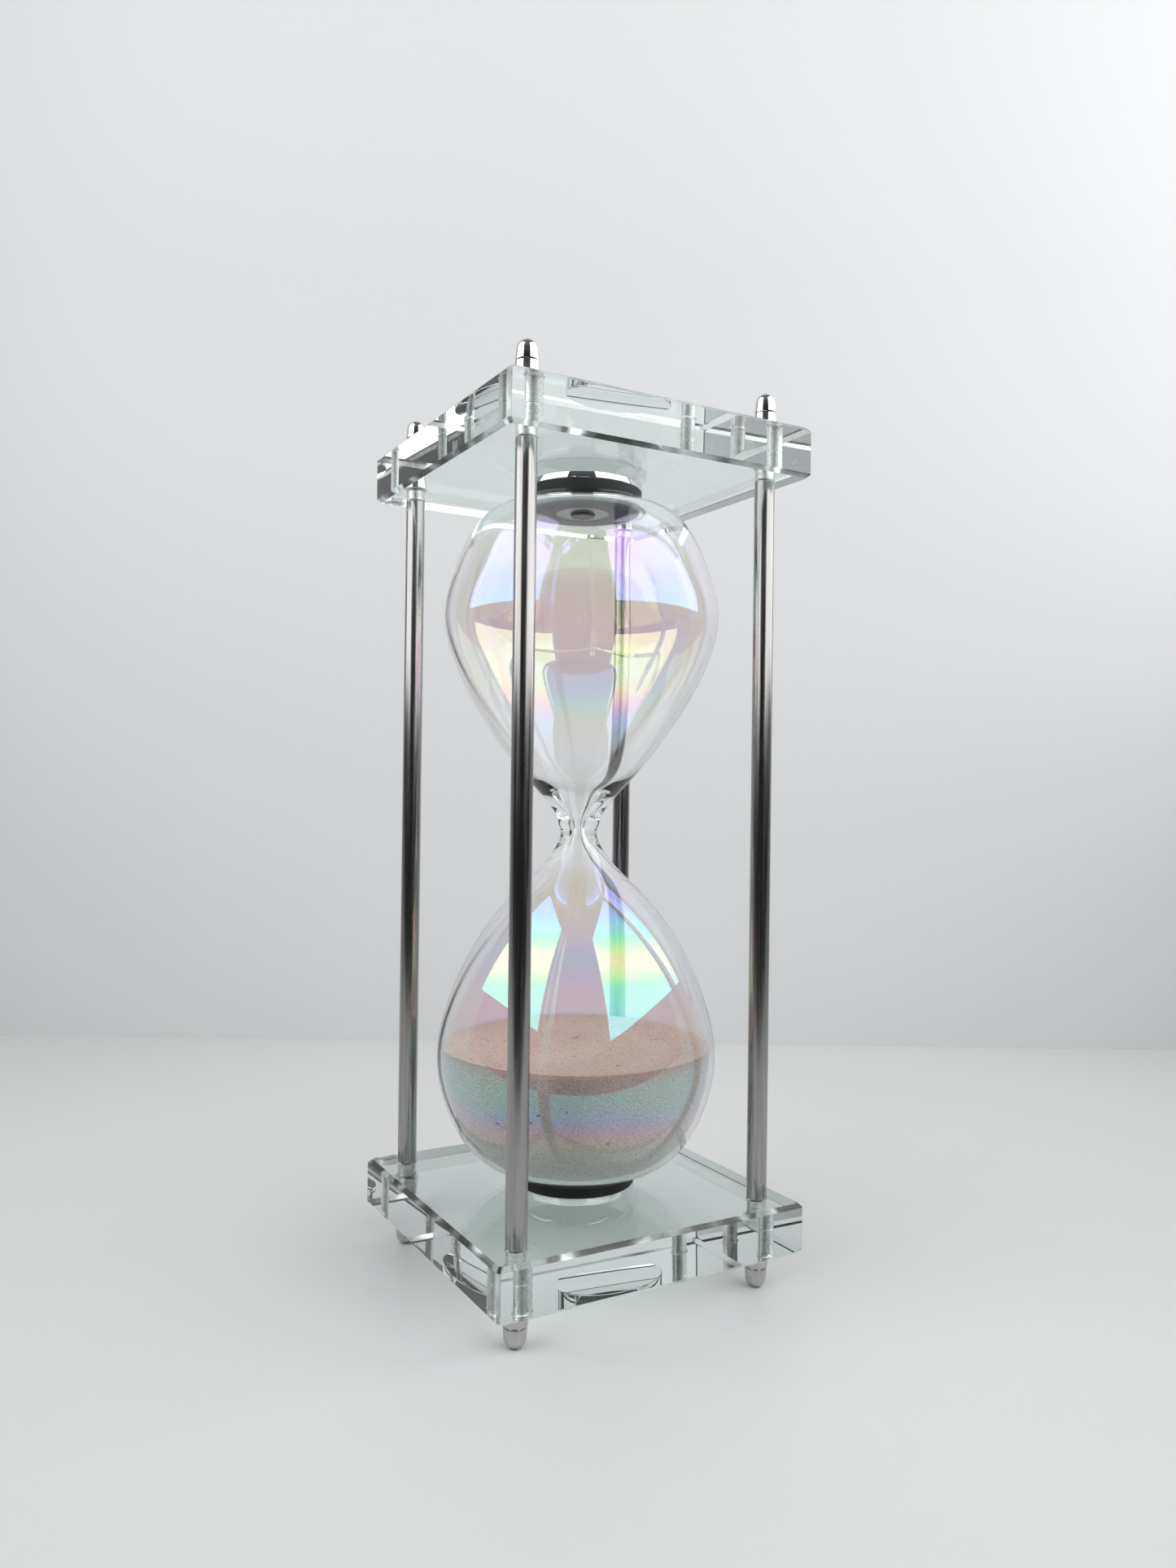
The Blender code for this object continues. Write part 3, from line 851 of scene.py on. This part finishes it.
# %% [markdown]
# Crystal plates
#
# Each plate is a sawn and polished slab with bevelled edges. Four bores go through it and a round
# blind recess is sunk in its inner face under the pad. The slab is a square outline carried up
# through four levels, and the holes are taken out with exact Booleans. Polished and ground glass
# differ only in roughness, but that is what makes the bores show white inside the clear plate. The
# drill leaves chips where it breaks the surface, so the rim of each cutter wanders.

# %% Crystal finishes
PLATE_INDEX = 1.52
PLATE_TINT = (0.89, 0.963, 0.948, 1.0)
GROUND_TINT = (0.86, 0.90, 0.90, 1.0)


def crystal_finish():
    net = Net("polished_crystal")
    net.set(Roughness=0.0, IOR=PLATE_INDEX, Transmission_Weight=1.0, Base_Color=PLATE_TINT)
    ripple = net.noise(net.place(), 30.0, detail=1.0)
    net.bump(ripple, "Fac", 0.02, 0.001)
    net.clear_shadow((0.95, 0.98, 0.97))
    return net


def bevel_finish():
    net = Net("bevelled_crystal")
    net.set(IOR=PLATE_INDEX, Transmission_Weight=1.0, Base_Color=PLATE_TINT)
    net.roughen(net.noise(net.place(), 400.0), 0.3, 0.7, 0.14, 0.26)
    net.clear_shadow((0.92, 0.95, 0.94))
    return net


def ground_finish():
    net = Net("ground_glass")
    net.set(IOR=PLATE_INDEX, Transmission_Weight=1.0, Base_Color=GROUND_TINT)
    marks = net.noise(net.place(scale=(1, 1, 7)), 900.0)
    net.roughen(marks, 0.35, 0.65, 0.22, 0.5)
    net.bump(marks, "Fac", 0.5, 0.0002)
    net.clear_shadow((0.85, 0.88, 0.88))
    return net


crystal = crystal_finish()
bevelled = bevel_finish()
ground = ground_finish()

# %% Plate sizes
PLATE_CHAMFER = 0.0012
CORNER_CHAMFER = 0.0008
BORE_RADIUS = 0.0027
BORE_CHAMFER = 0.0004
RECESS_RADIUS = 0.0172
RECESS_DEPTH = 0.0075
RECESS_ROUND = 0.0003
BORE_FLARE = 0.0010         # the cutter widens this much past each face
BORE_STEP = (0.0002, 0.00012)       # half height and depth of the ridge where two drillings meet
CHIP_DEPTH = 0.00035
CUTTER_OVERRUN = 0.001
CORNERS = ("front", "right", "back", "left")


def square_ring(half, cut):
    """Eight points of a square of half side half, its corners cut by cut, anticlockwise."""
    near = half - cut
    ring = [(half, -near), (half, near), (near, half), (-near, half),
            (-half, near), (-half, -near), (-near, -half), (near, -half)]
    return np.array(ring)


def slab_mesh(low, high):
    """The outline carried up through four levels, drawn in at the first and last."""
    half = (high[0] - low[0]) / 2
    levels = (low[2], low[2] + PLATE_CHAMFER, high[2] - PLATE_CHAMFER, high[2])
    insets = (PLATE_CHAMFER, 0.0, 0.0, PLATE_CHAMFER)
    rings = [np.column_stack([square_ring(half - d, CORNER_CHAMFER), np.full(8, z)])
             for z, d in zip(levels, insets)]
    points = np.vstack(rings)
    faces = grid_faces(4, 8).tolist()
    faces += [list(range(8))[::-1], list(range(24, 32))]
    mesh = bpy.data.meshes.new("slab")
    mesh.from_pydata(points.tolist(), [], faces)
    for net in (crystal, bevelled):
        mesh.materials.append(net.material)
    sides = np.ones((3, 8), dtype=np.int32)
    sides[1, ::2] = 0       # every second upright face is a broad one, the others cut the corners
    mesh.polygons.foreach_set("material_index", np.append(sides.ravel(), [0, 0]).astype(np.int32))
    return mesh


# %% Cutters
def bore_cutter(name, centre, low, high, seed):
    """Waisted tool whose flared rims wander, as chipped edges do; the two drillings meet half way."""
    middle = (low + high) / 2
    ridge_half, ridge_depth = BORE_STEP
    mouth = BORE_RADIUS + BORE_CHAMFER
    profile = [
        (0.0, high + BORE_FLARE), (mouth + BORE_FLARE, high + BORE_FLARE),
        (mouth, high), (BORE_RADIUS, high - BORE_CHAMFER),
        (BORE_RADIUS, middle + ridge_half), (BORE_RADIUS - ridge_depth, middle),
        (BORE_RADIUS, middle - ridge_half), (BORE_RADIUS, low + BORE_CHAMFER), (mouth, low),
        (mouth + BORE_FLARE, low - BORE_FLARE), (0.0, low - BORE_FLARE),
    ]
    waves = np.random.default_rng(seed)
    phase = waves.uniform(0, 2 * np.pi, 6)
    turns = np.array([3, 7, 11, 17, 23, 31])

    def chips(r, z, t):
        rim = np.clip((r - BORE_RADIUS) / BORE_CHAMFER, 0.0, 1.0)
        wave = sum(np.sin(k * t + p) for k, p in zip(turns, phase)) / 6
        return rim * CHIP_DEPTH * np.maximum(wave, -0.2)

    return make_piece(name, turn(profile, 72, chips), [ground], centre=centre)


def recess_cutter(name, low, high, side):
    """Flat-bottomed drum that enters from the inner face, with a small round in its corner."""
    mouth = low - CUTTER_OVERRUN if side > 0 else high + CUTTER_OVERRUN
    bottom = low + RECESS_DEPTH if side > 0 else high - RECESS_DEPTH
    profile = [(0.0, mouth), (RECESS_RADIUS, mouth)]
    profile += corner_arc(RECESS_RADIUS - RECESS_ROUND, bottom - side * RECESS_ROUND, RECESS_ROUND,
                          0, side)
    profile += [(0.0, bottom)]
    return make_piece(name, turn(profile, 160), [crystal])


def cut_away(piece, cutters):
    """Exact Booleans, then the result becomes the piece's own mesh and the cutters go."""
    for cutter in cutters:
        step = piece.modifiers.new(cutter.name, "BOOLEAN")
        step.operation = "DIFFERENCE"
        step.solver = "EXACT"
        step.material_mode = "TRANSFER"
        step.object = cutter
    bpy.context.view_layer.update()
    graph = bpy.context.evaluated_depsgraph_get()
    result = bpy.data.meshes.new_from_object(piece.evaluated_get(graph))
    piece.modifiers.clear()
    piece.data = result
    for cutter in cutters:
        bpy.data.objects.remove(cutter, do_unlink=True)


def make_plate(node, side, seed):
    low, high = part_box(node)
    piece = bpy.data.objects.new(f"{node}_crystal", slab_mesh(low, high))
    bpy.context.scene.collection.objects.link(piece)
    cutters = [bore_cutter(f"bore_{corner}", middle_of(f"rod_{corner}"), low[2], high[2], seed + i)
               for i, corner in enumerate(CORNERS)]
    cutters.append(recess_cutter("recess", low[2], high[2], side))
    cut_away(piece, cutters)
    piece.data.shade_smooth()
    piece.data.set_sharp_from_angle(angle=math.radians(25))
    settle(piece, "plate_crystal", node)


make_plate("top_plate", 1, 20)
make_plate("bottom_plate", -1, 40)

# %% [markdown]
# Rods, studs and cap nuts
#
# The rods are drawn steel, polished along their length, so their fine scratches run up and down and
# smear reflections sideways. Bump from noise squeezed across the rod and stretched along it gives
# that. The upper cap nuts are bright chrome. The feet are the same nut in a satin finish.

# %% Steel finishes
def rod_finish():
    net = Net("drawn_steel")
    net.set(Metallic=1.0)
    streaks = net.noise(net.place(scale=(1, 1, 0.012)), 2400.0, detail=4.0, rough=0.6)
    net.tint(streaks, (0.30, (0.27, 0.265, 0.257)), (0.70, (0.44, 0.432, 0.422)))
    net.roughen(streaks, 0.3, 0.7, 0.16, 0.30)
    net.bump(streaks, "Fac", 0.12, 0.0001)
    return net


def chrome_finish():
    net = Net("polished_chrome")
    net.set(Metallic=1.0, Base_Color=(0.80, 0.80, 0.81, 1.0))
    cloud = net.noise(net.place(), 500.0)
    net.roughen(cloud, 0.35, 0.7, 0.03, 0.10)
    net.bump(cloud, "Fac", 0.05, 0.0001)
    return net


def satin_finish():
    net = Net("satin_steel")
    net.set(Metallic=1.0)
    rings = net.noise(net.place(scale=(1, 1, 30)), 400.0)
    net.tint(rings, (0.3, (0.45, 0.44, 0.43)), (0.7, (0.62, 0.61, 0.60)))
    net.roughen(rings, 0.3, 0.7, 0.20, 0.36)
    net.bump(rings, "Fac", 0.2, 0.0001)
    return net


def zinc_finish():
    net = Net("stud_zinc")
    net.set(Metallic=1.0)
    cloud = net.noise(net.place(), 900.0)
    net.tint(cloud, (0.3, (0.30, 0.30, 0.30)), (0.7, (0.48, 0.48, 0.47)))
    net.roughen(cloud, 0.3, 0.7, 0.30, 0.5)
    return net


steel = rod_finish()
chrome = chrome_finish()
satin = satin_finish()
zinc = zinc_finish()

# %% Metal shapes
ROD_EDGE = 0.0003
TAP_RADIUS = 0.0023
TAP_DEPTH = 0.009
THREAD_PITCH = 0.0007
THREAD_DEPTH = 0.00035
THREAD_ROWS = 5             # rings of points in each pitch
STUD_STEPS = 24
NUT_BASE_HEIGHT = 0.0047
NUT_BASE_RADIUS = 0.0039
NUT_GROOVE_RADIUS = 0.0031
NUT_GROOVE_HALF = 0.00022
NUT_DOME_RADIUS = 0.0033
NUT_SHOULDER_RADIUS = 0.0031
NUT_DOME_WALL = 0.0030      # nearly straight part of the dome
NUT_TIP_RADIUS = 0.0010
NUT_BORE_DEPTH = 0.0062
NUT_FACE_RADIUS = 0.0037
NUT_FACE_EDGE = 0.0002


def make_rod(corner):
    low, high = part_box(f"rod_{corner}")
    radius = (high[0] - low[0]) / 2
    ends = []
    for z, side in ((high[2], 1), (low[2], -1)):
        end = [(0.0, z - side * TAP_DEPTH), (TAP_RADIUS, z - side * TAP_DEPTH), (TAP_RADIUS, z)]
        end += corner_arc(radius - ROD_EDGE, z - side * ROD_EDGE, ROD_EDGE, side, 0, 4)
        ends.append(end)
    profile = ends[0] + ends[1][::-1]
    piece = make_piece(f"steel_rod_{corner}", turn(profile, 64), [steel],
                       centre=middle_of(f"rod_{corner}"))
    settle(piece, "brushed_steel", f"rod_{corner}")


def make_stud(node):
    """Screw thread: the radius follows a triangle wave that climbs one pitch each turn."""
    low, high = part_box(node)
    radius = (high[0] - low[0]) / 2
    rows = int((high[2] - low[2]) / THREAD_PITCH * THREAD_ROWS)
    z = np.linspace(low[2], high[2], rows)
    profile = np.column_stack([np.full(rows, radius), z])

    def thread(r, z, t):
        turns = z / THREAD_PITCH - t / (2 * np.pi)
        wave = np.abs((turns % 1.0) * 2 - 1)
        taper = np.clip(np.minimum(z - low[2], high[2] - z) / THREAD_PITCH, 0.0, 1.0)
        return -THREAD_DEPTH * (wave * taper + (1 - taper))

    grid = turn(profile, STUD_STEPS, thread)
    caps = [np.tile([[0.0, 0.0, z_end]], (STUD_STEPS, 1))[None] for z_end in (low[2], high[2])]
    grid = np.concatenate([caps[0], grid, caps[1]])
    piece = make_piece(f"{node}_thread", grid, [zinc], sharp=60, centre=middle_of(node))
    settle(piece, "stud_zinc", node)


def nut_profile(base, tip, side):
    """Flared skirt, waist groove and domed cap, from the tip to the inside of the bore."""
    groove = base + side * NUT_BASE_HEIGHT
    shoulder = groove + side * NUT_DOME_WALL
    t = np.linspace(math.acos(NUT_TIP_RADIUS / NUT_SHOULDER_RADIUS), 0.0, 22)
    rise = (tip - shoulder) / math.sin(t[0])
    dome = [(NUT_SHOULDER_RADIUS * math.cos(a), shoulder + rise * math.sin(a)) for a in t]
    dome += [(NUT_DOME_RADIUS, groove + side * 2 * NUT_GROOVE_HALF),
             (NUT_DOME_RADIUS - 0.00005, groove + side * NUT_GROOVE_HALF)]
    k = np.linspace(0.0, 1.0, 14)
    skirt_top = groove - side * NUT_GROOVE_HALF
    skirt_r = NUT_DOME_RADIUS + 0.0001 + (NUT_BASE_RADIUS - NUT_DOME_RADIUS - 0.0001) * k ** 1.6
    skirt = list(zip(skirt_r, skirt_top + (base + side * NUT_FACE_EDGE - skirt_top) * k))
    bore_end = base + side * NUT_BORE_DEPTH
    bore = [(NUT_FACE_RADIUS, base), (TAP_RADIUS, base), (TAP_RADIUS, bore_end), (0.0, bore_end)]
    return [(0.0, tip)] + dome + [(NUT_GROOVE_RADIUS, groove)] + skirt + bore


def make_nut(node, side, finish, slot):
    low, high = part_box(node)
    base, tip = (low[2], high[2]) if side > 0 else (high[2], low[2])
    piece = make_piece(f"{node}_nut", turn(nut_profile(base, tip, side), 72), [finish], sharp=35,
                       centre=middle_of(node))
    settle(piece, slot, node)


for corner in CORNERS:
    make_rod(corner)
    make_stud(f"upper_stud_{corner}")
    make_stud(f"lower_stud_{corner}")
    make_nut(f"finial_{corner}", 1, chrome, "polished_chrome")
    make_nut(f"foot_{corner}", -1, satin, "satin_steel")

# %% [markdown]
# Sizes
#
# The fine surfaces have to fill the same box as the model they replace.

# %% Boxes as lists
def plain(box):
    return [[float(v) for v in corner] for corner in box]
